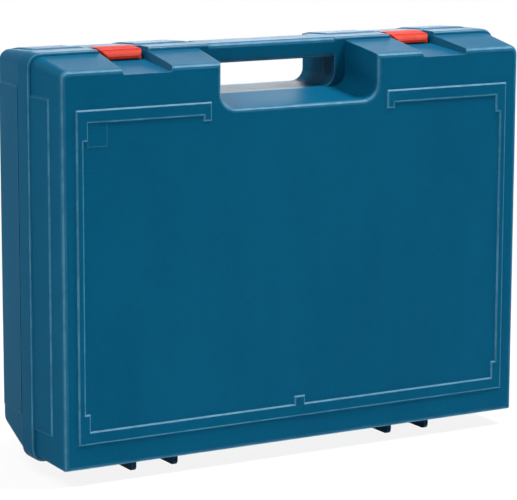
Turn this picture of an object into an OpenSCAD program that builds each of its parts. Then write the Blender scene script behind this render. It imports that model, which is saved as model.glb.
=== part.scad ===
/* [Case size] */
// Overall width across the rim
case_w = 391; // [360:1:430]
// Overall depth, front to back
case_d = 100; // [94:1:115]
// Overall height, feet to top pads
case_h = 301; // [280:1:330]
// Depth of the deep base half, from its front face to the parting plane
base_d = 57; // [55:0.5:60]
// Wall thickness of both shells
wall = 2.5; // [2:0.1:2.8]

/* [Outline] */
// How far the rim stands proud of the shells
rim_proud = 2.5; // [2:0.1:3]
// Depth of the rim band on the base
rim_d = 16.5; // [14:0.5:20]
// Taper of the base's side walls, rim to face
side_draft = 3.8; // [2:0.1:5]
// Taper of the base's top wall, rim to face
top_draft = 7; // [5:0.1:8]
// How far the base's bottom wall steps in behind the rim
foot_step = 3; // [2:0.1:3.5]
// How far the base's bottom wall falls from the rim to the face
foot_fall = 1.2; // [0:0.1:2]
// Taper of the lid's side walls, rim to back
lid_draft = 3; // [2:0.1:4]
// Taper of the lid's top wall, rim to back
lid_top_draft = 2.2; // [1:0.1:3]
// Rise of the lid's bottom wall, rim to back, which lets the lid swing open
lid_rise = 16; // [8:0.5:20]
// How far the lid's sides and bottom step in behind the rim
lid_step = 1; // [0.8:0.1:1.2]
// Corner radius of the rim's outline
corner_r = 10; // [9:0.5:14]
// Rounding of the base's front edges
edge_r = 3; // [2:0.1:4]
// Height of the grid inside the lid's back
grid_h = 2; // [1:0.1:2.2]
// Spacing of that grid's ribs
grid_pitch = 62; // [50:1:70]
// Gap between the two shells when shut
shut_gap = 0.3; // [0.3:0.05:0.5]
// How far the lid's top pads stand above the rim
pad_rise = 0.6; // [0.4:0.1:1.6]

/* [Raised panels] */
// How far the face frames and side panels stand proud
band_proud = 1; // [0.6:0.1:1.4]
// Margin of the face frame at each side
band_side = 11; // [9:0.5:14]
// Margin of the face frame below the top edge
band_top = 27; // [24:0.5:30]
// Margin of the face frames above the bottom edge
band_foot = 18.5; // [14:0.5:22]
// Width of the frame's upright runs
band_w = 4.6; // [3:0.1:6]
// Width of the frame's level runs and corners
band_h = 8.3; // [6:0.1:10]
// Half of the break in the frame's top run
band_gap = 73.5; // [70:0.5:80]
// Margin of the base's side panels below the face's top edge
panel_top = 19; // [16:0.5:24]
// Margin of the base's side panels above the face's bottom edge
panel_foot = 22.5; // [16:0.5:28]
// Margin of the lid's side panels below the face's top edge
lid_panel_top = 14; // [11:0.5:20]
// Margin of the lid's side panels above the face's bottom edge
lid_panel_foot = 30; // [26:0.5:36]
// Distance of the side panels from the front face
panel_front = 16; // [12:0.5:22]

/* [Handle] */
// Half width of the hand recess at the front face
grip_front_w = 65; // [63:0.5:67]
// Half width of the hand recess at the rim
grip_rim_w = 62; // [58:0.5:63]
// Half width of the hand hole
grip_hole_w = 53; // [48:0.5:54]
// Depth of the hand recess below the front top edge
grip_front_h = 33; // [31:0.5:35]
// Depth of the hand hole's floor below the rim's top
grip_hole_h = 36; // [34:0.5:37]
// Height of the carrying bar
bar_h = 14.5; // [12:0.5:16]
// Rounding of the hand recess where it meets the front face
grip_edge_r = 2.5; // [1.5:0.1:3]
// Depth of the bar's half on the lid
bar_lid_d = 13; // [11:0.5:15]
// Corner radius of the hand hole
grip_r = 10; // [8:0.5:12]

/* [Latches] */
// Distance of each latch from the middle
latch_x = 121; // [117:0.5:125]
// Width of the latches
latch_w = 31; // [28:0.5:33]
// Side clearance of a latch in its channel
latch_gap = 0.6; // [0.4:0.1:1]
// Flare of a channel's outer side towards the front
channel_flare = 4.8; // [3:0.1:6]
// Depth of a channel at the front edge
channel_h = 3.7; // [3.5:0.1:4.5]
// Depth of a channel at the rim
channel_rim_h = 6; // [5.5:0.1:6.5]
// How far a latch reaches in front of the rim
latch_reach = 1; // [0.5:0.1:2]
// Distance of a latch's pin behind the parting plane
latch_pin_y = 6; // [5.6:0.1:8]
// Radius of a latch's rolled back end
latch_r = 5; // [4.5:0.1:5.4]
// Radius of the latch pins
latch_pin_r = 1.5; // [1.2:0.1:1.8]
// Rounding of a latch's front corners, seen from above
latch_corner_r = 5; // [3:0.5:7]

/* [Hinges] */
// Distance from the middle to the inner hinge ribs
hinge_in = 91.5; // [85:0.5:95]
// Distance from the middle to the outer hinge ribs
hinge_out = 125; // [116:0.5:128]
// Thickness of the hinge ribs that the case stands on
rib_t = 3; // [2.5:0.1:3.5]
// Distance of the ribs' rounded tips behind the front face
rib_front = 20; // [16:0.5:26]
// How far the rim clears the ground
foot_h = 10; // [8:0.1:12]
// Radius of the lid's hinge knuckles
knuckle_r = 2.6; // [2.4:0.05:2.7]
// Radius of the hinge pins
hinge_pin_r = 1.25; // [1:0.05:1.5]
// Radial running clearance of every pin
pin_fit = 0.05; // [0.02:0.01:0.1]

/* [Insert] */
// Thickness of the tray's sheet
tray_t = 2; // [1.6:0.1:2.4]
// Distance of the tray's flange below the parting plane
tray_drop = 7; // [6.5:0.5:8]
// Depth of the shallow pockets below the flange
pocket_d = 32; // [26:0.5:36]
// Distance of the pockets' right ends from the tray's edge
pocket_in = 21.9; // [18:0.1:26]
// Length of the pockets beside the grip
pocket_w = 168; // [150:1:170]
// Height of the side-handle pocket
handle_h = 33; // [28:0.5:34]
// Height of the small-parts bin
bin_h = 27; // [24:0.5:28]
// Level of the small-parts bin's lower edge
bin_z = 66; // [62:1:68]
// Drop of the tool's centre line below the hand recess
tool_drop = 56; // [53:1:59]
// Radius of the bin lid's pins
bin_pin_r = 1.1; // [1:0.1:1.3]
// Radius of the tray screws' shanks
screw_r = 1.5; // [1.3:0.1:1.8]

/* [Hidden] */
shell_blue = [0.03, 0.34, 0.47];
latch_red = [0.86, 0.13, 0.09];
tray_grey = [0.16, 0.17, 0.18];
steel = [0.72, 0.73, 0.75];
clip_black = [0.06, 0.06, 0.06];

over = 1;
tiny = 0.05;
steps = 6;
edge_steps = 3;
rim_edge_r = 2;
corner_fall = 0.7;
foot_corner_fall = 1.3;
lid_edge_r = 4;
shut_edge = 0.5;
front_y = -case_d / 2 + band_proud;
back_y = case_d / 2 - band_proud;
part_y = front_y + base_d;
rim_y = part_y - rim_d;
base_run = rim_y - front_y;
lid_run = back_y - part_y;
rim_x = case_w / 2;
rim_z0 = foot_h;
rim_z1 = case_h - pad_rise;
face_x = rim_x - rim_proud - side_draft;
face_z0 = rim_z0 + foot_step - foot_fall;
face_z1 = rim_z1 - rim_proud - top_draft;
sky = case_h + 2 * grip_r;

hole_z = rim_z1 - grip_hole_h;
recess_z = face_z1 - grip_front_h;
bar_z = rim_z1 - bar_h;
bar_r = 3;
bar_top_r = 3.5;
grip_front_r = grip_r + 2;
flare_y = back_y - 12;
flare_x = 7;
flare_z = 3;

lip_y = rim_y - latch_reach;
shelf_z = face_z1 + top_draft - channel_rim_h;
latch_half = latch_w / 2;
channel_half = latch_half + latch_gap;
latch_y = part_y + latch_pin_y;
latch_z = rim_z1 - latch_r;
pad_front = 2.5;
pad_slope = 4;
pad_h = case_h - lid_top(part_y + pad_front + pad_slope);
pocket_gap = 0.5;
hook_gap = 0.7;
catch_h = hook_gap / 2;
catch_in = 4;
catch_t = 2;
collar = 6;

knuckle_gap = 0.4;
hinge_z = knuckle_r + 0.2;
knuckle_x0 = hinge_in + rib_t / 2 + knuckle_gap;
knuckle_x1 = hinge_out - rib_t / 2 - knuckle_gap;

tongue_in = 2.7;
tongue_t = 1.1;
tongue_h = 3;
tongue_gap = 0.4;

tray_y = part_y - tray_drop;
floor_y = front_y + wall + 0.3;
tray_in = rim_proud + wall + 0.6;
tray_x = rim_x - tray_in;
tray_z0 = rim_z0 + foot_step + wall + 0.6;
tray_z1 = shelf_z - wall - 1.3;
tray_r = corner_r - corner_fall * (rim_proud + wall);
notch_x = grip_hole_w + wall + 1.5;
notch_z = hole_z - wall - 1.5;
tool_r = 8;
tool_in = 17;
tool_x0 = -tray_x + tool_in;
tool_x1 = tray_x - tool_in;
tool_z = notch_z - tool_drop;
tool_half = 36;
chuck_half = 22;
chuck_len = 76.9;
chuck_lap = 16;
head_in = 20;
grip_w = 86;
grip_len = 104;
motor_in = 60;
motor_len = 72;
pocket_r = 5;
pocket_x = tray_x - pocket_in - pocket_w;
handle_z = bin_z + bin_h + 22;
rod_z = tray_z0 + 15;
rod_h = 15;
rod_d = 16;
shelf_x1 = pocket_x - 14;
shelf_y = tray_y - 24;
shelf_z0 = tray_z0 + 12;
shelf_top = bin_z + 14;
clip_t = 8;
clip_d = 16;
clip_gap = 2;
bin_x0 = pocket_x;
bin_x1 = pocket_x + pocket_w;
bin_lid_t = 1.8;
bin_barrel_r = 2.4;
bin_axis_y = tray_y + bin_barrel_r + 0.4;
bin_axis_z = bin_z + bin_h + 4.5;
bin_ear_t = 4;
bin_inset = 7;
screw_in = 9.5;
boss_r = 4;
screw_len = 12;

// Outline of a rounded rectangle standing at depth y, as a loop of points
function ring(x0, z0, x1, z1, r, y) = rounded(x0, z0, x1, z1, r, r, y);

// The same with one radius for the upper corners and another for the lower ones
function rounded(x0, z0, x1, z1, r, low_r, y) = [
    for (c = [[x1 - r, z1 - r, 0, r], [x0 + r, z1 - r, 90, r],
              [x0 + low_r, z0 + low_r, 180, low_r], [x1 - low_r, z0 + low_r, 270, low_r]])
        for (k = [0 : steps])
            let (a = c[2] + 90 * k / steps)
                [c[0] + c[3] * cos(a), y, c[1] + c[3] * sin(a)]
];

// The rim's outline at depth y, drawn in by e
function outline(y, e) =
    ring(-rim_x + e, rim_z0 + e, rim_x - e, rim_z1 - e, corner_r - corner_fall * e, y);

// The base's drafted outline at depth y, drawn in by e more
function base_ring(y, e) =
    let (x = base_side(y) - e, side = rim_x - x)
        rounded(-x, base_foot(y) + e, x, base_top(y) - e, corner_r - corner_fall * side,
            max(corner_r - foot_corner_fall * side, shut_edge), y);

// The lid's drafted outline at depth y, drawn in by e more
function lid_ring(y, e) =
    let (x = lid_side(y) - e)
        ring(-x, lid_foot(y) + e, x, lid_top(y) - e, corner_r - corner_fall * (rim_x - x), y);

// Share of the base's depth in front of the rim at depth y, and of the lid's behind the parting plane
function base_share(y) = max(0, (rim_y - y) / base_run);
function lid_share(y) = (y - part_y) / lid_run;

// The base's side, top and bottom walls at depth y
function base_side(y) = rim_x - rim_proud - side_draft * base_share(y);
function base_top(y) = rim_z1 - rim_proud - top_draft * base_share(y);
function base_foot(y) = rim_z0 + foot_step - foot_fall * base_share(y);

// The lid's side, top and bottom walls at depth y
function lid_side(y) = rim_x - lid_step - lid_draft * lid_share(y);
function lid_top(y) = rim_z1 - lid_top_draft * lid_share(y);
function lid_foot(y) = rim_z0 + lid_step + lid_rise * lid_share(y);

// A cross-section of a latch channel at depth y, grown by g
function channel_ring(y, floor_z, flare, g) =
    let (
        rise = (sky - floor_z) / 2,
        x0 = latch_x - channel_half - g,
        x1 = latch_x + channel_half + flare + g
    )
        [[x1 + rise, y, sky], [x0 - rise, y, sky], [x0, y, floor_z - g], [x1, y, floor_z - g]];

// Loops of points joined into one closed body, from the front cap to the back cap
module loft(rings) {
    m = len(rings[0]);
    n = len(rings);
    polyhedron(
        points = [for (q = rings) each q],
        faces = concat(
            [[for (j = [m - 1 : -1 : 0]) j]],
            [[for (j = [0 : m - 1]) (n - 1) * m + j]],
            [for (i = [0 : n - 2]) for (j = [0 : m - 1]) [
                i * m + j,
                i * m + (j + 1) % m,
                (i + 1) * m + (j + 1) % m,
                (i + 1) * m + j
            ]]
        ),
        convexity = 6
    );
}

// A flat X-Z shape given depth from y0 to y1
module slab(y0, y1) {
    translate([0, y1, 0])
        rotate([90, 0, 0])
            linear_extrude(y1 - y0)
                children();
}

// A flat Y-Z shape given width from x0 to x1
module strip(x0, x1) {
    translate([x0, 0, 0])
        rotate([90, 0, 90])
            linear_extrude(x1 - x0)
                children();
}

// A rounded rectangle in the flat
module plate(x0, z0, x1, z1, r) {
    polygon([for (p = ring(x0, z0, x1, z1, r, 0)) [p[0], p[2]]]);
}

// A plain rectangle in the flat
module sheet(x0, z0, x1, z1) {
    translate([x0, z0])
        square([x1 - x0, z1 - z0]);
}

// A round rod along X
module rod(x0, x1, y, z, r) {
    translate([x0, y, z])
        rotate([0, 90, 0])
            cylinder(h = x1 - x0, r = r, $fn = 48);
}

// A round rod along Y
module peg(x, y0, y1, z, r) {
    translate([x, y1, z])
        rotate([90, 0, 0])
            cylinder(h = y1 - y0, r = r, $fn = 48);
}

// The same thing on the right and on the left
module pair() {
    children();
    mirror([1, 0, 0])
        children();
}

// Drafted body of the base up to its rim
module base_skin() {
    loft(concat(
        [for (k = [0 : edge_steps])
            let (a = 90 * k / edge_steps)
                base_ring(front_y + edge_r * (1 - cos(a)), edge_r * (1 - sin(a)))],
        [base_ring(rim_y, 0), base_ring(rim_y + over, 0)]
    ));
}

// The proud rim around the base's open side
module rim_band() {
    loft(concat(
        [for (k = [0 : edge_steps])
            let (a = 90 * k / edge_steps, e = rim_edge_r * (1 - sin(a)))
                outline(rim_y + rim_edge_r * (1 - cos(a)), e)],
        [
            outline(part_y - shut_gap / 2 - shut_edge, 0),
            outline(part_y - shut_gap / 2, shut_edge)
        ]
    ));
}

// Drafted body of the lid
module lid_skin() {
    loft(concat(
        [
            lid_ring(part_y + shut_gap / 2, shut_edge),
            lid_ring(part_y + shut_gap / 2 + shut_edge, 0)
        ],
        [for (k = [edge_steps : -1 : 0])
            let (a = 90 * k / edge_steps)
                lid_ring(back_y - lid_edge_r * (1 - cos(a)), lid_edge_r * (1 - sin(a)))]
    ));
}

// A cross-section of a ridge at depth y, grown by g
function ridge_ring(x0, z0, x1, z1, g, y) =
    [[x1 + g, y, z1 + g], [x0 - g, y, z1 + g], [x0 - g, y, z0 - g], [x1 + g, y, z0 - g]];

// A low ridge with sloping flanks on a large face at depth y; way is 1 at the back, -1 at the front
module ridge(x0, z0, x1, z1, y, way) {
    foot = band_proud / 2;
    rings = [
        ridge_ring(x0, z0, x1, z1, foot, y - way * wall / 2),
        ridge_ring(x0, z0, x1, z1, foot, y),
        ridge_ring(x0, z0, x1, z1, -foot, y + way * band_proud)
    ];
    loft(way > 0 ? rings : [rings[2], rings[1], rings[0]]);
}

// Raised frame on a large face, with its broken top run
module face_frame(y, way, foot_z) {
    x = face_x - band_side;
    z0 = foot_z + band_foot;
    z1 = face_z1 - band_top;
    foot = 5.5;
    corner = band_h + 12.5;
    tab_w = 8;
    tab_h = 6;
    ridge(-x, z0, x, z0 + band_h, y, way);
    ridge(-tab_w / 2, z0, tab_w / 2, z0 + band_h + tab_h, y, way);
    pair() {
        ridge(x - band_w, z0, x, z1, y, way);
        for (z = [z0, z1 - corner])
            ridge(x - band_h, z, x, z + corner, y, way);
        ridge(band_gap, z1 - band_h, x, z1, y, way);
        ridge(band_gap, z1 - band_h * 1.5, band_gap + foot, z1, y, way);
    }
}

// Low stiffening grid on the inside of the lid's back
module lid_grid() {
    t = 1.4;
    x1 = rim_x - rim_proud - lid_step - lid_draft;
    z0 = lid_foot(back_y) + wall / 2;
    z1 = hole_z - flare_z - wall / 2;
    for (k = [-2 : 2])
        sheet(k * grid_pitch - t / 2, z0, k * grid_pitch + t / 2, z1);
    for (k = [-1 : 1])
        sheet(-x1, (z0 + z1) / 2 + k * grid_pitch - t / 2, x1, (z0 + z1) / 2 + k * grid_pitch + t / 2);
}

// Low patch inside the frame's upper left corner
module face_patch() {
    patch_w = 15;
    patch_h = 17;
    x = -face_x + band_side + band_h;
    z = face_z1 - band_top - band_h;
    sheet(x, z - patch_h, x + patch_w, z);
}

// A cross-section of the right side panel at depth y, standing g proud of the wall at x
function panel_ring(x, y, z0, z1, g) = [
    [x + g, y, z0 + g], [x + g, y, z1 - g], [x, y, z1],
    [x - wall / 2, y, z1], [x - wall / 2, y, z0], [x, y, z0]
];

// Raised panels with sloping flanks on the base's two sides
module base_panels() {
    z0 = face_z0 + panel_foot;
    z1 = face_z1 - panel_top;
    y0 = front_y + panel_front;
    pair()
        loft([
            panel_ring(base_side(y0), y0, z0, z1, tiny),
            panel_ring(base_side(y0 + band_proud), y0 + band_proud, z0, z1, band_proud),
            panel_ring(base_side(rim_y + over), rim_y + over, z0, z1, band_proud)
        ]);
}

// Raised panels with sloping flanks on the lid's two sides, from the parting plane backwards
module lid_panels() {
    z0 = face_z0 + lid_panel_foot;
    z1 = face_z1 - lid_panel_top;
    y0 = part_y + 1;
    y1 = back_y - lid_edge_r;
    pair()
        loft([
            panel_ring(lid_side(y0), y0, z0, z1, band_proud),
            panel_ring(lid_side(y1 - band_proud), y1 - band_proud, z0, z1, band_proud),
            panel_ring(lid_side(y1), y1, z0, z1, tiny)
        ]);
}

// Outline of the hand recess's mouth at depth y, grown by g
function grip_mouth_ring(y, g) =
    let (
        t = (y - front_y) / base_run,
        x = grip_front_w + (grip_rim_w - grip_front_w) * t + g
    )
        ring(-x, recess_z + (hole_z - recess_z) * t - g, x, sky, grip_front_r + g, y);

// Hand recess in the base, grown by g
module grip_recess(g) {
    lead = 4;
    slope = (hole_z - recess_z) / base_run;
    taper = (grip_front_w - grip_rim_w) / base_run;
    x0 = grip_front_w + taper * lead + g;
    x1 = grip_rim_w + g;
    loft([
        ring(-x0, recess_z - slope * lead - g, x0, sky, grip_front_r, front_y - lead),
        ring(-x1, hole_z - g, x1, sky, grip_r, rim_y + g)
    ]);
}

// Rounded mouth of the hand recess at the front face
module grip_mouth() {
    lead = 1;
    loft(concat(
        [grip_mouth_ring(front_y - lead, grip_edge_r)],
        [for (k = [0 : edge_steps])
            let (a = 90 * k / edge_steps)
                grip_mouth_ring(front_y + grip_edge_r * (1 - cos(a)), grip_edge_r * (1 - sin(a)))]
    ));
}

// Hand hole through the rim and the lid, grown by g
module grip_hole(g, y0, y1) {
    x = grip_hole_w + g;
    slab(y0, y1)
        plate(-x, hole_z - g, x, sky, grip_r);
}

// The hand hole's widening towards the lid's back, grown by g
module grip_flare(g) {
    x = grip_hole_w + g;
    lead = 2;
    grow = 1 + lead / (back_y - flare_y);
    loft([
        ring(-x, hole_z - g, x, sky, grip_r, flare_y),
        ring(-x - flare_x * grow, hole_z - g - flare_z * grow, x + flare_x * grow, sky, grip_r,
            back_y + lead)
    ]);
}

// One half of the carrying bar, rounded at its free face
module grip_bar(y0, y1, front_r, back_r, top_r) {
    strip(-grip_hole_w - over, grip_hole_w + over)
        polygon(concat(
            [for (k = [0 : edge_steps])
                let (a = 90 * k / edge_steps)
                    [y0 + front_r * (1 - cos(a)), bar_z + front_r * (1 - sin(a))]],
            [for (k = [edge_steps : -1 : 0])
                let (a = 90 * k / edge_steps)
                    [y1 - back_r * (1 - cos(a)), bar_z + back_r * (1 - sin(a))]],
            [for (k = [0 : edge_steps])
                let (a = 90 * k / edge_steps)
                    [y1 - back_r * (1 - cos(a)), rim_z1 - back_r * (1 - sin(a))]],
            [for (k = [edge_steps : -1 : 0])
                let (a = 90 * k / edge_steps)
                    [y0 + top_r * (1 - cos(a)), rim_z1 - top_r * (1 - sin(a))]]
        ));
}

// Channels in the base's top for the latches, grown by g
module latch_channels(g) {
    lead = 3;
    slope = top_draft / base_run;
    pair() {
        loft([
            channel_ring(front_y - lead, face_z1 - channel_h - slope * lead, channel_flare, g),
            channel_ring(lip_y, shelf_z, 0, g)
        ]);
        loft([
            channel_ring(lip_y - tiny, shelf_z, 0, g),
            channel_ring(part_y + over, shelf_z, 0, g)
        ]);
    }
}

// Pockets in the lid's top for the latches' rolled ends, grown by g
module latch_pockets(g) {
    reach = latch_r + pocket_gap + g;
    pair()
        slab(part_y - over, latch_y + reach)
            sheet(latch_x - channel_half - g, latch_z - reach, latch_x + channel_half + g, sky);
}

// Sealing tongue along three sides of the base's rim, grown by g
module tongue(g) {
    y0 = part_y - shut_gap - shut_edge;
    y1 = part_y + tongue_h + g;
    far = tongue_in + tongue_t + g;
    near = tongue_in - g;
    cut = tongue_gap - g;
    difference() {
        slab(y0, y1)
            polygon([for (p = outline(0, near)) [p[0], p[2]]]);
        slab(y0 - over, y1 + over)
            polygon([for (p = outline(0, far)) [p[0], p[2]]]);
        slab(y0 - over, y1 + over) {
            sheet(-rim_x, 0, rim_x, rim_z0 + 2 * corner_r + cut);
            sheet(-grip_hole_w - wall - cut, hole_z - over, grip_hole_w + wall + cut, sky);
            pair()
                sheet(latch_x - channel_half - collar - cut, shelf_z - over,
                    latch_x + channel_half + collar + cut, sky);
        }
    }
}

// One hinge rib, seen from the side: rounded tip, level foot and rolled end
module rib_profile() {
    tip_y = front_y + rib_front;
    tip_r = 4;
    mid_y = part_y - shut_gap / 2;
    polygon(concat(
        [for (y = [mid_y, rim_y, tip_y]) [y, base_foot(y) + wall / 2]],
        [for (k = [0 : steps])
            let (a = 90 * k / steps)
                [tip_y + tip_r * (1 - cos(a)), tip_r * (1 - sin(a))]],
        [[part_y, 0]],
        [for (k = [1 : steps])
            let (a = 120 * k / steps)
                [part_y + knuckle_r * sin(a), hinge_z - knuckle_r * cos(a)]],
        [[mid_y, hinge_z + knuckle_r]]
    ));
}

// One lid knuckle, seen from the side: web from the lid's bottom wall to the pin
module knuckle_profile() {
    polygon([
        [part_y, hinge_z],
        [part_y + knuckle_r, hinge_z],
        [part_y + knuckle_r + 2, lid_foot(part_y + knuckle_r + 2) + wall / 2],
        [part_y + shut_gap + shut_edge, lid_foot(part_y + shut_gap) + wall / 2],
        [part_y + shut_gap, hinge_z + knuckle_r / 2]
    ]);
}

module base_shell() {
    color(shell_blue)
        difference() {
            union() {
                difference() {
                    union() {
                        base_skin();
                        rim_band();
                    }
                    difference() {
                        loft([
                            base_ring(front_y + wall, wall),
                            base_ring(rim_y, wall),
                            base_ring(part_y + over, wall)
                        ]);
                        grip_recess(wall);
                        grip_hole(wall, rim_y, part_y + 2 * over);
                        latch_channels(wall);
                    }
                    grip_recess(0);
                    grip_mouth();
                    grip_hole(0, rim_y - over, part_y + over);
                    latch_channels(0);
                }
                base_panels();
                grip_bar(rim_y, part_y - shut_gap / 2, bar_r, 0, bar_top_r);
                face_frame(front_y, -1, face_z0);
                slab(front_y - band_proud / 3, front_y + wall / 2)
                    face_patch();
                pair() {
                    for (x = [hinge_in, hinge_out])
                        strip(x - rib_t / 2, x + rib_t / 2)
                            rib_profile();
                    for (z = [tray_z0 + screw_in, tray_z1 - screw_in])
                        peg(tray_x - screw_in, front_y + wall / 2, tray_y - tray_t - tiny, z, boss_r);
                }
                tongue(0);
                pair()
                    slab(rim_y + catch_t / 2, rim_y + catch_t * 1.5)
                        sheet(latch_x - latch_half + catch_in, shelf_z - wall / 2,
                            latch_x + latch_half - catch_in, shelf_z + catch_h);
            }
            pair() {
                rod(hinge_in - rib_t, hinge_out + rib_t, part_y, hinge_z, hinge_pin_r + pin_fit);
                rod(knuckle_x0 - knuckle_gap / 2, knuckle_x1 + knuckle_gap / 2, part_y, hinge_z,
                    knuckle_r + knuckle_gap);
                for (z = [tray_z0 + screw_in, tray_z1 - screw_in])
                    peg(tray_x - screw_in, tray_y - tray_t - screw_len - over, tray_y, z, screw_r + pin_fit);
            }
        }
}

module lid_shell() {
    color(shell_blue)
        difference() {
            union() {
                difference() {
                    lid_skin();
                    difference() {
                        loft([
                            outline(part_y - over, rim_proud + wall),
                            lid_ring(back_y - wall, wall)
                        ]);
                        grip_hole(wall, part_y - over, back_y);
                        grip_flare(wall);
                        latch_pockets(wall);
                    }
                    grip_hole(0, part_y - over, back_y + over);
                    grip_flare(0);
                }
                lid_panels();
                lid_pads();
                grip_bar(part_y + shut_gap / 2, part_y + bar_lid_d, 0, bar_r, 0);
                face_frame(back_y, 1, lid_foot(back_y));
                slab(back_y - wall - grid_h, back_y - wall / 2)
                    lid_grid();
                pair()
                    strip(knuckle_x0, knuckle_x1)
                        knuckle_profile();
                pair()
                    rod(knuckle_x0, knuckle_x1, part_y, hinge_z, knuckle_r);
            }
            latch_pockets(0);
            tongue(tongue_gap);
            pair() {
                rod(latch_x - channel_half - wall - over, latch_x + channel_half + wall + over,
                    latch_y, latch_z, latch_pin_r + pin_fit);
                rod(hinge_in, hinge_out, part_y, hinge_z, hinge_pin_r + pin_fit);
            }
        }
}

// A cross-section of a pad at depth y between x0 and x1, rising by h above the lid's top wall
function pad_ring(x0, x1, y, h) =
    let (z = lid_top(y), s = pad_slope * h / pad_h)
        [[x1 - s, y, z + h], [x0 + s, y, z + h], [x0, y, z - wall / 2], [x1, y, z - wall / 2]];

// Raised pads with sloping ends and flanks on the lid's top, beside the latches
module lid_pads() {
    y0 = part_y + pad_front;
    y1 = back_y - lid_edge_r;
    inner = [grip_hole_w + pad_slope, latch_x - channel_half - 1];
    outer = [latch_x + channel_half + pad_slope, rim_x - corner_r - 2];
    pair()
        for (x = [inner, outer])
            loft([
                pad_ring(x[0], x[1], y0, tiny),
                pad_ring(x[0], x[1], y0 + pad_slope, pad_h),
                pad_ring(x[0], x[1], y1 - pad_slope, pad_h),
                pad_ring(x[0], x[1], y1, tiny)
            ]);
}

// A latch seen from the side: rounded nose with its hook, flat plate and rolled back end
module latch_profile() {
    top = rim_z1;
    under = top - 3;
    nose_l = 8;
    nose_top = top - 0.8;
    hook_y = lip_y + 4;
    low = shelf_z + hook_gap;
    polygon(concat(
        [
            [latch_y, top],
            [part_y + 0.5, top],
            [part_y, top - 0.7],
            [part_y - 0.8, top - 0.7],
            [part_y - 1.3, top + 0.2]
        ],
        [for (k = [0 : steps])
            let (a = 90 * k / steps)
                [lip_y + nose_l * (1 - sin(a)), low + 0.8 + (nose_top - low - 0.8) * cos(a)]],
        [
            [lip_y + 0.6, low],
            [hook_y - 2, low],
            [hook_y, low + 0.8],
            [hook_y + 0.6, under - 1.4],
            [hook_y + 2.6, under],
            [latch_y - latch_r - 1, under],
            [latch_y - 3, latch_z - 2],
            [latch_y, latch_z - latch_r]
        ]
    ));
}

module latch() {
    x0 = latch_x - latch_half;
    x1 = latch_x + latch_half;
    color(latch_red)
        difference() {
            union() {
                intersection() {
                    strip(x0, x1)
                        latch_profile();
                    linear_extrude(case_h)
                        plate(x0, lip_y, x1, latch_y + 2 * latch_r, latch_corner_r);
                }
                rod(x0, x1, latch_y, latch_z, latch_r);
            }
            rod(x0 - over, x1 + over, latch_y, latch_z, latch_pin_r + pin_fit);
        }
}

module latch_left() {
    mirror([1, 0, 0])
        latch();
}

module latch_right() {
    latch();
}

module latch_pin() {
    color(steel)
        rod(latch_x - channel_half - wall + tiny, latch_x + channel_half + wall - tiny,
            latch_y, latch_z, latch_pin_r);
}

module latch_pin_left() {
    mirror([1, 0, 0])
        latch_pin();
}

module latch_pin_right() {
    latch_pin();
}

module hinge_pin() {
    color(steel)
        rod(hinge_in - rib_t / 2, hinge_out + rib_t / 2, part_y, hinge_z, hinge_pin_r);
}

module hinge_pin_left() {
    mirror([1, 0, 0])
        hinge_pin();
}

module hinge_pin_right() {
    hinge_pin();
}

// Outline of the cavity for the tool: chuck, gear case, motor and closed grip
module tool_shape() {
    offset(r = tool_r, $fn = 32)
        offset(delta = -tool_r) {
            sheet(tool_x0 + head_in, tool_z - tool_half, tool_x1 - chuck_len, tool_z + tool_half);
            sheet(tool_x1 - chuck_len - chuck_lap, tool_z - chuck_half, tool_x1, tool_z + chuck_half);
            sheet(tool_x0, tool_z - grip_len, tool_x0 + grip_w, tool_z + tool_half);
            sheet(tool_x0 + motor_in, tool_z - motor_len, pocket_x - chuck_half, tool_z);
        }
}

// Outlines of the shallow pockets: side handle, small parts, depth rod
module handle_shape() {
    plate(pocket_x, handle_z, pocket_x + pocket_w, handle_z + handle_h, pocket_r);
}

module bin_shape() {
    plate(bin_x0, bin_z, bin_x1, bin_z + bin_h, pocket_r);
}

module rod_shape() {
    plate(pocket_x, rod_z, pocket_x + pocket_w, rod_z + rod_h, pocket_r);
}

module shelf_shape() {
    plate(tool_x0, shelf_z0, shelf_x1, shelf_top, pocket_r);
}

module tool_tray() {
    color(tray_grey)
        difference() {
            union() {
                slab(tray_y - tray_t, tray_y)
                    difference() {
                        plate(-tray_x, tray_z0, tray_x, tray_z1, tray_r);
                        sheet(-notch_x, notch_z, notch_x, sky);
                    }
                slab(floor_y, tray_y - tiny)
                    offset(delta = tray_t)
                        tool_shape();
                slab(tray_y - pocket_d - tray_t, tray_y - tiny)
                    offset(delta = tray_t) {
                        handle_shape();
                        bin_shape();
                    }
                slab(tray_y - rod_d - tray_t, tray_y - tiny)
                    offset(delta = tray_t)
                        rod_shape();
                slab(shelf_y - tray_t, tray_y - tiny)
                    offset(delta = tray_t)
                        shelf_shape();
                for (x = [bin_x0 + bin_inset, bin_x1 - bin_inset - bin_ear_t])
                    strip(x, x + bin_ear_t)
                        bin_ear();
            }
            slab(floor_y + tray_t, tray_y + over)
                tool_shape();
            slab(tray_y - pocket_d, tray_y + over) {
                handle_shape();
                bin_shape();
            }
            slab(tray_y - rod_d, tray_y + over)
                rod_shape();
            slab(shelf_y, tray_y + over)
                shelf_shape();
            rod(bin_x0, bin_x1, bin_axis_y, bin_axis_z, bin_pin_r + pin_fit);
            pair()
                for (z = [tray_z0 + screw_in, tray_z1 - screw_in])
                    peg(tray_x - screw_in, tray_y - tray_t - over, tray_y + over, z, screw_r + 0.2);
        }
}

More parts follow.
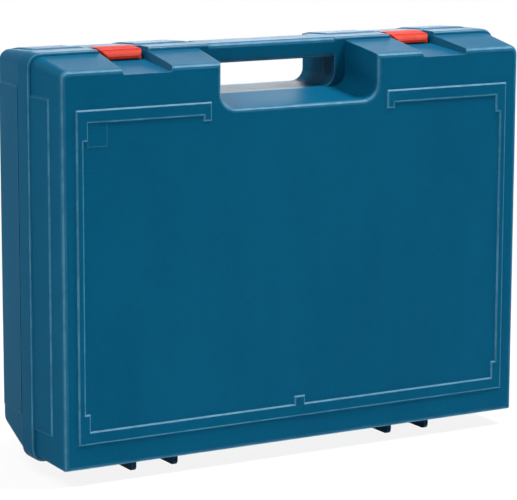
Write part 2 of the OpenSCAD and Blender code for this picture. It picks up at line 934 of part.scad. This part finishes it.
// Ear on the tray that carries a pin of the bin lid
module bin_ear() {
    polygon([
        [tray_y - tray_t, bin_axis_z - bin_barrel_r],
        [tray_y - tray_t, bin_axis_z + bin_barrel_r + 2],
        [tray_y + tiny, bin_axis_z + bin_barrel_r + 2],
        [bin_axis_y + bin_barrel_r - 0.7, bin_axis_z + bin_barrel_r - 0.7],
        [bin_axis_y + bin_barrel_r, bin_axis_z],
        [bin_axis_y + bin_barrel_r - 0.7, bin_axis_z - bin_barrel_r + 0.7],
        [bin_axis_y, bin_axis_z - bin_barrel_r],
        [tray_y, bin_axis_z - bin_barrel_r]
    ]);
}

module tray_screws() {
    head_r = 3.5;
    head_h = 2;
    slot_r = 1.5;
    color(steel)
        pair()
            for (z = [tray_z0 + screw_in, tray_z1 - screw_in])
                difference() {
                    union() {
                        peg(tray_x - screw_in, tray_y + tiny, tray_y + head_h, z, head_r);
                        peg(tray_x - screw_in, tray_y - tray_t - screw_len, tray_y + head_h, z, screw_r);
                    }
                    slab(tray_y + head_h - 1, tray_y + head_h + over) {
                        sheet(tray_x - screw_in - slot_r, z - 0.4, tray_x - screw_in + slot_r, z + 0.4);
                        sheet(tray_x - screw_in - 0.4, z - slot_r, tray_x - screw_in + 0.4, z + slot_r);
                    }
                }
}

module bin_lid() {
    y0 = tray_y + 0.4;
    side = bin_inset + bin_ear_t + 0.4;
    low = bin_z - 2;
    tab_w = 24;
    tab_h = 2;
    mid = (bin_x0 + bin_x1) / 2;
    color(tray_grey)
        difference() {
            union() {
                slab(y0, y0 + bin_lid_t)
                    plate(bin_x0 - 2, low, bin_x1 + 2, bin_axis_z - bin_barrel_r - 0.6, 2);
                slab(y0, y0 + bin_lid_t)
                    plate(mid - tab_w / 2, low - tab_h, mid + tab_w / 2, low + 2 * tab_h, tab_h - tiny);
                slab(y0, y0 + bin_lid_t)
                    sheet(bin_x0 + side, bin_axis_z - bin_barrel_r - 2, bin_x1 - side, bin_axis_z);
                rod(bin_x0 + side, bin_x1 - side, bin_axis_y, bin_axis_z, bin_barrel_r);
            }
            rod(bin_x0, bin_x1, bin_axis_y, bin_axis_z, bin_pin_r + pin_fit);
        }
}

module bin_lid_pins() {
    reach = 8;
    color(steel) {
        rod(bin_x0 + bin_inset, bin_x0 + bin_inset + bin_ear_t + reach,
            bin_axis_y, bin_axis_z, bin_pin_r);
        rod(bin_x1 - bin_inset - bin_ear_t - reach, bin_x1 - bin_inset,
            bin_axis_y, bin_axis_z, bin_pin_r);
    }
}

// Block with open grooves that grip the shanks of drill bits
module bit_clip(x) {
    z0 = shelf_z0 + clip_gap;
    z1 = shelf_top - clip_gap;
    count = 4;
    pitch = (z1 - z0) / count;
    top_y = shelf_y + clip_d;
    color(clip_black)
        difference() {
            slab(shelf_y + tiny, top_y)
                sheet(x, z0, x + clip_t, z1);
            for (k = [0 : count - 1])
                let (z = z0 + (k + 0.5) * pitch, r = 2.6 + 0.5 * k) {
                    rod(x - over, x + clip_t + over, top_y - r - 1.2, z, r);
                    strip(x - over, x + clip_t + over)
                        polygon([
                            [top_y - r - 1.2, z - r * 0.7],
                            [top_y + over, z - r * 0.9],
                            [top_y + over, z + r * 0.9],
                            [top_y - r - 1.2, z + r * 0.7]
                        ]);
                }
        }
}

module bit_clip_outer() {
    bit_clip(tool_x0 + 22);
}

module bit_clip_inner() {
    bit_clip(shelf_x1 - 34);
}

base_shell();
lid_shell();
latch_left();
latch_right();
latch_pin_left();
latch_pin_right();
hinge_pin_left();
hinge_pin_right();
tool_tray();
tray_screws();
bin_lid();
bin_lid_pins();
bit_clip_outer();
bit_clip_inner();
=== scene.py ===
import math

import bpy
from mathutils import Matrix, Vector


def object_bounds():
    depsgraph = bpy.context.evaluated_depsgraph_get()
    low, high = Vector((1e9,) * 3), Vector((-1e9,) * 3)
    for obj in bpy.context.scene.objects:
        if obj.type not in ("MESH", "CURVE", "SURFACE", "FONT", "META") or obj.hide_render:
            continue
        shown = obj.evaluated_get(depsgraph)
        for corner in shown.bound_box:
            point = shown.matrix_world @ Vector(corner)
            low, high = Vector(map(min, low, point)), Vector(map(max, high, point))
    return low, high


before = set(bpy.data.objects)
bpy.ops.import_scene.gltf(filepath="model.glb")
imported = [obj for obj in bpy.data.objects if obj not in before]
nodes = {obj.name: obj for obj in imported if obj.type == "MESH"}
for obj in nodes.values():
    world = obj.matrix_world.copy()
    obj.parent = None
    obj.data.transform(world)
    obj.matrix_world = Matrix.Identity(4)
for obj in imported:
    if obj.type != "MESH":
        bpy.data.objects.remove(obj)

MM = 0.001

cad_low, cad_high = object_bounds()
middle = (cad_low + cad_high) / 2


# Camera -----------------------------------------------------------------------------------------

VIEW_AZIMUTH = math.radians(-30.126)
VIEW_HEIGHT = math.radians(10.303)
VIEW_ROLL = math.radians(0.162)
CAMERA_FROM_MIDDLE = Vector((-0.9256, -1.5840, 0.3278))
SENSOR_MM = 36
LENS_MM = 175.97
CLIP_NEAR, CLIP_FAR = 0.05, 50


def make_camera():
    """Long-lens camera standing a little above the case, at its left front corner."""
    data = bpy.data.cameras.new("camera")
    data.lens, data.sensor_width = LENS_MM, SENSOR_MM
    data.clip_start, data.clip_end = CLIP_NEAR, CLIP_FAR
    camera = bpy.data.objects.new("camera", data)
    bpy.context.scene.collection.objects.link(camera)
    back = Vector((
        math.sin(VIEW_AZIMUTH) * math.cos(VIEW_HEIGHT),
        -math.cos(VIEW_AZIMUTH) * math.cos(VIEW_HEIGHT),
        math.sin(VIEW_HEIGHT),
    ))
    level = (-back).cross(Vector((0, 0, 1))).normalized()
    across = Matrix.Rotation(-VIEW_ROLL, 3, -back) @ level
    up = back.cross(across)
    turn = Matrix((across, up, back)).transposed().to_4x4()
    camera.matrix_world = Matrix.Translation(middle + CAMERA_FROM_MIDDLE) @ turn
    bpy.context.scene.camera = camera


make_camera()


# Shader building --------------------------------------------------------------------------------

# Cosine of the turn between the true and the rounded normal: flat ground, full edge
EDGE_FLAT, EDGE_FULL = 0.997, 0.925
# Share of open sky in an inward corner and on an outward edge
SKY_CORNER, SKY_OPEN = 0.80, 0.95
# How far a rounded edge's normal turns to the front or back, where its painted highlight rises and
# where it falls
RIM_BEGINS, RIM_ENDS = (0.30, 0.50), (0.985, 0.93)
EDGE_SAMPLES = 8
SKY_SAMPLES = 6
# Sockets of a colour Mix node
MIX_SHARE, MIX_A, MIX_B, MIX_RESULT = 0, 6, 7, 2


class Shader:
    """A material whose nodes are added and wired one call at a time."""

    def __init__(self, name):
        self.material = bpy.data.materials.new(name)
        self.material.use_nodes = True
        self.tree = self.material.node_tree
        self.tree.nodes.clear()
        self.out = self.tree.nodes.new("ShaderNodeOutputMaterial")
        coordinates = self.add("ShaderNodeTexCoord").outputs
        self.place, self.turned = coordinates["Object"], coordinates["Normal"]

    def add(self, kind, inputs=None, **settings):
        node = self.tree.nodes.new(kind)
        for key, value in settings.items():
            setattr(node, key, value)
        for key, value in (inputs or {}).items():
            if isinstance(value, bpy.types.NodeSocket):
                self.tree.links.new(value, node.inputs[key])
            else:
                node.inputs[key].default_value = value
        return node

    def math(self, operation, a, b=0.0, clamp=False):
        node = self.add("ShaderNodeMath", {0: a, 1: b}, operation=operation, use_clamp=clamp)
        return node.outputs[0]

    def noise(self, scale, detail=2.0, rough=0.5, stretch=(1, 1, 1)):
        """Noise with `scale` cells per metre, drawn out along an axis by `stretch`."""
        mapped = self.add("ShaderNodeMapping", {"Vector": self.place, "Scale": stretch})
        node = self.add(
            "ShaderNodeTexNoise",
            {"Vector": mapped.outputs[0], "Scale": scale, "Detail": detail, "Roughness": rough},
        )
        return node.outputs[0]

    def fit(self, value, low, high, to_low=0.0, to_high=1.0):
        """`value` from low..high carried to to_low..to_high, held at the ends."""
        keys = {"Value": value, "From Min": low, "From Max": high}
        keys.update({"To Min": to_low, "To Max": to_high})
        return self.add("ShaderNodeMapRange", keys, clamp=True).outputs[0]

    def mix(self, share, a, b):
        node = self.add("ShaderNodeMix", data_type="RGBA")
        for key, value in ((MIX_SHARE, share), (MIX_A, a), (MIX_B, b)):
            if isinstance(value, bpy.types.NodeSocket):
                self.tree.links.new(value, node.inputs[key])
            else:
                node.inputs[key].default_value = value
        return node.outputs[MIX_RESULT]

    def edges(self, radius):
        """1 along outward edges, 0 on flat ground and in inward corners."""
        rounded = self.add("ShaderNodeBevel", {"Radius": radius}, samples=EDGE_SAMPLES).outputs[0]
        true = self.add("ShaderNodeNewGeometry").outputs["Normal"]
        dot = self.add("ShaderNodeVectorMath", {0: rounded, 1: true}, operation="DOT_PRODUCT")
        turn = self.fit(dot.outputs["Value"], EDGE_FLAT, EDGE_FULL)
        reach = {"Distance": 2 * radius}
        sky = self.add("ShaderNodeAmbientOcclusion", reach, samples=SKY_SAMPLES).outputs["AO"]
        return self.math("MULTIPLY", turn, self.fit(sky, SKY_CORNER, SKY_OPEN))

    def painted_highlight_rims(self):
        """1 on the rounded edges round the front and the back, 0 on faces and side walls; it places
        a painted highlight.
        """
        facing = self.add("ShaderNodeSeparateXYZ", {0: self.turned}).outputs["Y"]
        facing = self.math("ABSOLUTE", facing)
        return self.math("MULTIPLY", self.fit(facing, *RIM_BEGINS), self.fit(facing, *RIM_ENDS))

    def bump(self, height, strength, depth, normal=None):
        keys = {"Height": height, "Strength": strength, "Distance": depth}
        if normal:
            keys["Normal"] = normal
        return self.add("ShaderNodeBump", keys).outputs[0]

    def finish(self, colour, roughness, normal, **fixed):
        keys = {"Base Color": colour, "Roughness": roughness, "Normal": normal}
        keys.update({name.replace("_", " "): value for name, value in fixed.items()})
        surface = self.add("ShaderNodeBsdfPrincipled", keys)
        self.tree.links.new(surface.outputs[0], self.out.inputs["Surface"])
        return self.material


def colour(r, g, b):
    return (r, g, b, 1.0)


# Patterns in moulded plastic, each as cells per metre, detail, roughness and stretch
FLOW_MARKS = (14, 3, 0.6, (1, 1, 0.35))
FLECKS = (2400, 2, 0.5)
SCUFFS = (60, 6, 0.7, (1, 1, 6))
WEAR_AND_HIGHLIGHT_PATCHES = (90, 4, 0.6)
WAVES = (22, 2, 0.5)
# Share of the paler tone in flecks and scuffs
FLECK_SHARE = 0.10
SCUFF_SHARE = 0.10
# Roughness added by a scuff, and given or taken by a flow mark
SCUFF_ROUGH = 0.10
FLOW_ROUGH = 0.03
# Least share of the edge wear and painted highlight that is left between its patches
LEAST_WEAR_AND_HIGHLIGHT = 0.60
# Radius of the outward edges that are paled by wear and by a painted highlight
WORN_AND_HIGHLIT_EDGE = 1.2 * MM
# Strength and depth of the spark grain and of the slow waves of the surface
GRAIN_BUMP = (0.16, 0.05 * MM)
WAVE_BUMP = (0.06, 0.5 * MM)


def moulded_plastic(name, base, pale, deep, edge_wear_and_highlight_tone, rough, grain, wear_and_highlight, specular):
    """Injection-moulded plastic: fine spark grain, faint flow marks, scuffs, and edges paled partly
    by wear and partly by a painted highlight.
    """
    s = Shader(name)
    flow = s.noise(*FLOW_MARKS)
    fleck = s.noise(*FLECKS)
    scuff = s.fit(s.noise(*SCUFFS), 0.60, 0.72)
    # Painted highlight and edge wear: outward edges and the rounded rims at front and back are paled
    # toward the edge tone in place of a gloss highlight
    edge = s.math("MAXIMUM", s.edges(WORN_AND_HIGHLIT_EDGE), s.painted_highlight_rims())
    worn_and_highlit = s.math("MULTIPLY", edge, s.fit(s.noise(*WEAR_AND_HIGHLIGHT_PATCHES), 0.40, 0.62, LEAST_WEAR_AND_HIGHLIGHT, 1.0))
    tone = s.mix(s.fit(flow, 0.35, 0.65), base, deep)
    tone = s.mix(s.math("MULTIPLY", s.fit(fleck, 0.4, 0.6), FLECK_SHARE), tone, pale)
    tone = s.mix(s.math("MULTIPLY", scuff, SCUFF_SHARE), tone, pale)
    tone = s.mix(s.math("MULTIPLY", worn_and_highlit, wear_and_highlight), tone, edge_wear_and_highlight_tone)
    gloss = s.math("ADD", s.fit(flow, 0.3, 0.7, -FLOW_ROUGH, FLOW_ROUGH), rough)
    gloss = s.math("ADD", s.math("MULTIPLY", scuff, SCUFF_ROUGH), gloss, clamp=True)
    skin = s.bump(s.noise(grain, 3, 0.6), *GRAIN_BUMP)
    skin = s.bump(s.noise(*WAVES), *WAVE_BUMP, skin)
    return s.finish(tone, gloss, skin, Specular_IOR_Level=specular)


DRAWN_LINES = (700, 2, 0.5, (0.06, 1, 1))
TARNISH = (120, 4, 0.6)
BRIGHT_STEEL = colour(0.60, 0.61, 0.63)
DULL_STEEL = colour(0.36, 0.35, 0.34)
STEEL_ROUGH = (0.22, 0.36)
TARNISH_ROUGH = 0.15
LINE_BUMP = (0.3, 0.03 * MM)


def drawn_steel(name):
    """Cut steel wire and screws: drawing lines along the rod, slight tarnish."""
    s = Shader(name)
    lines = s.noise(*DRAWN_LINES)
    tarnish = s.fit(s.noise(*TARNISH), 0.45, 0.7)
    tone = s.mix(tarnish, BRIGHT_STEEL, DULL_STEEL)
    dull = s.math("MULTIPLY", tarnish, TARNISH_ROUGH)
    gloss = s.math("ADD", s.fit(lines, 0.3, 0.7, *STEEL_ROUGH), dull)
    skin = s.bump(lines, *LINE_BUMP)
    return s.finish(tone, gloss, skin, Metallic=1.0)


DUST = (160, 5, 0.65)
DUST_SHARE = 0.35
RUBBER_BLACK = colour(0.013, 0.013, 0.014)
DUSTY_BLACK = colour(0.05, 0.05, 0.05)
RUBBER_PATCHES = (400, 3, 0.5)
RUBBER_ROUGH = (0.62, 0.74)
RUBBER_GRAIN = (2200, 2, 0.5)
RUBBER_BUMP = (0.3, 0.05 * MM)


def soft_rubber(name):
    """Black rubbery plastic of the bit clips."""
    s = Shader(name)
    dust = s.fit(s.noise(*DUST), 0.5, 0.75)
    tone = s.mix(s.math("MULTIPLY", dust, DUST_SHARE), RUBBER_BLACK, DUSTY_BLACK)
    gloss = s.fit(s.noise(*RUBBER_PATCHES), 0.3, 0.7, *RUBBER_ROUGH)
    skin = s.bump(s.noise(*RUBBER_GRAIN), *RUBBER_BUMP)
    return s.finish(tone, gloss, skin)


# Each plastic's edge colour and share paint its outward edges and rims paler, partly as wear and
# partly as a painted highlight
SHELL_BLUE = moulded_plastic(
    "shell_blue",
    base=colour(0.0005, 0.067, 0.136),
    pale=colour(0.010, 0.16, 0.27),
    deep=colour(0.0004, 0.060, 0.124),
    edge_wear_and_highlight_tone=colour(0.16, 0.40, 0.56),
    rough=0.42, grain=2600, wear_and_highlight=0.32, specular=0.015,
)
LATCH_RED = moulded_plastic(
    "latch_red",
    base=colour(0.38, 0.018, 0.010),
    pale=colour(0.54, 0.06, 0.04),
    deep=colour(0.33, 0.015, 0.008),
    edge_wear_and_highlight_tone=colour(0.60, 0.14, 0.10),
    rough=0.42, grain=2600, wear_and_highlight=0.30, specular=0.004,
)
TRAY_GREY = moulded_plastic(
    "tray_grey",
    base=colour(0.026, 0.028, 0.031),
    pale=colour(0.09, 0.093, 0.098),
    deep=colour(0.018, 0.020, 0.023),
    edge_wear_and_highlight_tone=colour(0.10, 0.103, 0.108),
    rough=0.55, grain=700, wear_and_highlight=0.3, specular=0.3,
)
PIN_STEEL = drawn_steel("pin_steel")
CLIP_BLACK = soft_rubber("clip_black")

FINISHES = {
    "shell_blue": SHELL_BLUE,
    "latch_red": LATCH_RED,
    "tray_grey": TRAY_GREY,
    "pin_steel": PIN_STEEL,
    "clip_black": CLIP_BLACK,
}


DISSOLVE_BELOW = math.radians(0.3)
ROUND_ABOVE = math.radians(32)
ROUND_STEPS = 2


def dress(node, rounding):
    """Gives a CAD node its finish, and rounds its edges a little, as a mould does."""
    for slot in node.material_slots:
        slot.material = FINISHES[slot.material.name.split(".")[0]]
    flatten = node.modifiers.new("flatten", "DECIMATE")
    flatten.decimate_type = "DISSOLVE"
    flatten.angle_limit = DISSOLVE_BELOW
    edge = node.modifiers.new("rounding", "BEVEL")
    edge.width = rounding
    edge.segments = ROUND_STEPS
    edge.limit_method = "ANGLE"
    edge.angle_limit = ROUND_ABOVE
    edge.harden_normals = True
    edge.use_clamp_overlap = True


ROUNDING = {
    "base_shell": 0.3 * MM,
    "lid_shell": 0.3 * MM,
    "latch_left": 0.5 * MM,
    "latch_right": 0.5 * MM,
    "tool_tray": 0.4 * MM,
    "bin_lid": 0.3 * MM,
    "bit_clip_outer": 0.3 * MM,
    "bit_clip_inner": 0.3 * MM,
}
SMALL_ROUNDING = 0.15 * MM
for name, node in nodes.items():
    dress(node, ROUNDING.get(name, SMALL_ROUNDING))


# Floor, world and lights ------------------------------------------------------------------------

WHITE = colour(1, 1, 1)
PAPER = colour(0.95, 0.95, 0.95)
FLOOR_HALF = 4.0
FLOOR_GAP = 0.05 * MM
# Distance from the case's middle over which its shadow fades out
FADE_BEGINS, FADE_ENDS = 0.25, 0.8


def seen_directly(tree):
    """1 for camera, mirror and see-through rays, which all see the white background."""
    path = tree.nodes.new("ShaderNodeLightPath")
    total = path.outputs["Is Camera Ray"]
    for ray in ("Is Glossy Ray", "Is Transmission Ray"):
        step = tree.nodes.new("ShaderNodeMath")
        step.operation, step.use_clamp = "ADD", True
        tree.links.new(total, step.inputs[0])
        tree.links.new(path.outputs[ray], step.inputs[1])
        total = step.outputs[0]
    return total


def make_world(fill):
    world = bpy.data.worlds.new("studio")
    world.use_nodes = True
    tree = world.node_tree
    tree.nodes.clear()
    out = tree.nodes.new("ShaderNodeOutputWorld")
    sky = tree.nodes.new("ShaderNodeBackground")
    sky.inputs["Color"].default_value = WHITE
    level = tree.nodes.new("ShaderNodeMapRange")
    level.inputs["To Min"].default_value = fill
    level.inputs["To Max"].default_value = 1.0
    tree.links.new(seen_directly(tree), level.inputs["Value"])
    tree.links.new(level.outputs[0], sky.inputs["Strength"])
    tree.links.new(sky.outputs[0], out.inputs["Surface"])
    bpy.context.scene.world = world


def make_floor(shadow):
    """A pale floor that keeps a soft shadow and otherwise lets the white background through."""
    mesh = bpy.data.meshes.new("floor")
    corners = [(x * FLOOR_HALF, y * FLOOR_HALF, 0) for x, y in ((-1, -1), (1, -1), (1, 1), (-1, 1))]
    mesh.from_pydata(corners, [], [(0, 1, 2, 3)])
    floor = bpy.data.objects.new("floor", mesh)
    bpy.context.scene.collection.objects.link(floor)
    floor.location.z = cad_low.z - FLOOR_GAP
    material = bpy.data.materials.new("floor")
    material.use_nodes = True
    tree = material.node_tree
    tree.nodes.clear()
    out = tree.nodes.new("ShaderNodeOutputMaterial")
    paper = tree.nodes.new("ShaderNodeBsdfDiffuse")
    paper.inputs["Color"].default_value = PAPER
    clear = tree.nodes.new("ShaderNodeBsdfTransparent")
    place = tree.nodes.new("ShaderNodeTexCoord")
    reach = tree.nodes.new("ShaderNodeVectorMath")
    reach.operation = "LENGTH"
    tree.links.new(place.outputs["Object"], reach.inputs[0])
    fade = tree.nodes.new("ShaderNodeMapRange")
    fade.interpolation_type = "SMOOTHSTEP"
    limits = {"From Min": FADE_BEGINS, "From Max": FADE_ENDS, "To Min": 1 - shadow, "To Max": 1.0}
    for key, value in limits.items():
        fade.inputs[key].default_value = value
    tree.links.new(reach.outputs["Value"], fade.inputs["Value"])
    share = tree.nodes.new("ShaderNodeMath")
    share.operation = "MULTIPLY"
    tree.links.new(seen_directly(tree), share.inputs[0])
    tree.links.new(fade.outputs[0], share.inputs[1])
    under = tree.nodes.new("ShaderNodeNewGeometry")
    both = tree.nodes.new("ShaderNodeMath")
    both.operation = "MAXIMUM"
    tree.links.new(share.outputs[0], both.inputs[0])
    tree.links.new(under.outputs["Backfacing"], both.inputs[1])
    mix = tree.nodes.new("ShaderNodeMixShader")
    tree.links.new(both.outputs[0], mix.inputs[0])
    tree.links.new(paper.outputs[0], mix.inputs[1])
    tree.links.new(clear.outputs[0], mix.inputs[2])
    tree.links.new(mix.outputs[0], out.inputs["Surface"])
    mesh.materials.append(material)


def area_light(name, place, size, power, sheen_only=False):
    """A square softbox at `place` from the case's middle, facing the middle.

    One that is sheen_only shows in the gloss of a surface and adds nothing to its matt colour.
    """
    data = bpy.data.lights.new(name, "AREA")
    data.shape = "SQUARE"
    data.size, data.energy = size, power
    light = bpy.data.objects.new(name, data)
    bpy.context.scene.collection.objects.link(light)
    light.location = middle + Vector(place)
    light.rotation_euler = (-Vector(place)).to_track_quat("-Z", "Y").to_euler()
    light.visible_diffuse = not sheen_only


make_world(fill=0.17)
make_floor(shadow=0.12)
area_light("softbox_key", (1.2, -0.6, 2.4), size=0.6, power=112)
area_light("softbox_left", (-1.3, -0.4, 2.2), size=1.1, power=39)
area_light("softbox_sheen", (1.2, -0.55, 2.3), size=0.8, power=360, sheen_only=True)
area_light("softbox_back", (1.3, 2.3, 0.75), size=0.9, power=15)
area_light("softbox_rear_left", (-1.6, 2.0, 1.5), size=1.0, power=22)

scene = bpy.context.scene
scene.view_settings.view_transform = "Standard"
